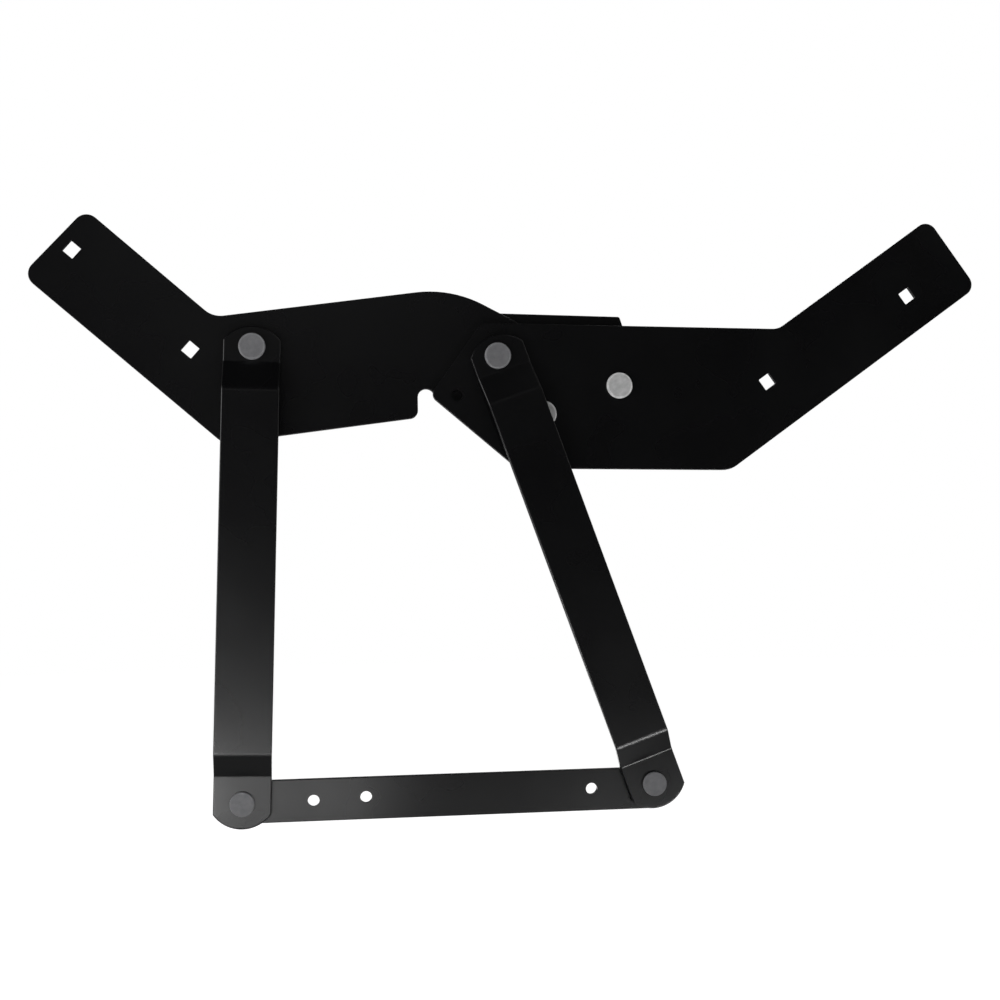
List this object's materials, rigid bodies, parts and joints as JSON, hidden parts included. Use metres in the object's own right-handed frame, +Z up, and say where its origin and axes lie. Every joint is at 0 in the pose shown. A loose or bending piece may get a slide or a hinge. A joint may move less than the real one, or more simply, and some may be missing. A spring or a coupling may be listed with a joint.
{
  "type": "sofa bed mechanism",
  "caption": "Folding sofa bed hinge: two riveted boomerang plates on a four-bar linkage of joggled strips over a flat base bar.",
  "frame": {"origin": "middle of the base bar's two fixing holes, on the bar's rear mounting face", "axes": "+X along the base bar towards the right plate, +Y away from the viewer into the furniture frame, +Z up"},
  "size_m": [0.584, 0.0234, 0.3662],
  "materials": {
    "black_steel": "satin black coating",
    "rivet_steel": "dull turned steel",
    "washer_steel": "dull zinc"
  },
  "bodies": {
    "base": {"base_bar": "black_steel", "left_foot_rivet": "rivet_steel", "right_foot_rivet": "rivet_steel", "left_foot_washer": "washer_steel", "right_foot_washer": "washer_steel"},
    "right_leg": {"right_leg": "black_steel"},
    "left_leg": {"left_leg": "black_steel", "left_top_rivet": "rivet_steel", "left_top_washer": "washer_steel", "left_top_backing_washer": "washer_steel"},
    "seat": {"seat_plate": "black_steel", "main_pivot_rivet": "rivet_steel", "front_eye_washer": "washer_steel", "rear_eye_washer": "washer_steel"},
    "back": {"back_plate": "black_steel", "rear_plate": "black_steel", "upper_plate_rivet": "rivet_steel", "lower_plate_rivet": "rivet_steel", "stop_pin": "rivet_steel", "upper_spacer": "washer_steel", "lower_spacer": "washer_steel", "leg_washer": "washer_steel", "main_pivot_backing_washer": "washer_steel"}
  },
  "joints": [
    {"name": "right_leg_fold", "type": "hinge", "parent": "base", "child": "right_leg", "pos_m": [0.1065, 0, 0.0024], "axis": [0, 1, 0], "range_deg": [0, 34]},
    {"name": "seat_turn", "type": "hinge", "parent": "right_leg", "child": "seat", "pos_m": [0.01449, 0, 0.2642], "axis": [0, 1, 0], "range_deg": [-61.94, 0]},
    {"name": "left_leg_fold", "type": "hinge", "parent": "base", "child": "left_leg", "pos_m": [-0.1415, 0, -0.0007], "axis": [0, 1, 0], "range_deg": [0, 39.35]},
    {"name": "back_tilt", "type": "hinge", "parent": "seat", "child": "back", "pos_m": [0.01449, 0, 0.2642], "axis": [0, 1, 0], "range_deg": [0, 68]}
  ],
  "couplings": [
    {"joint": "seat_turn", "follows": "right_leg_fold", "ratio": -1.8204},
    {"joint": "left_leg_fold", "follows": "right_leg_fold", "ratio": 1.1559}
  ]
}
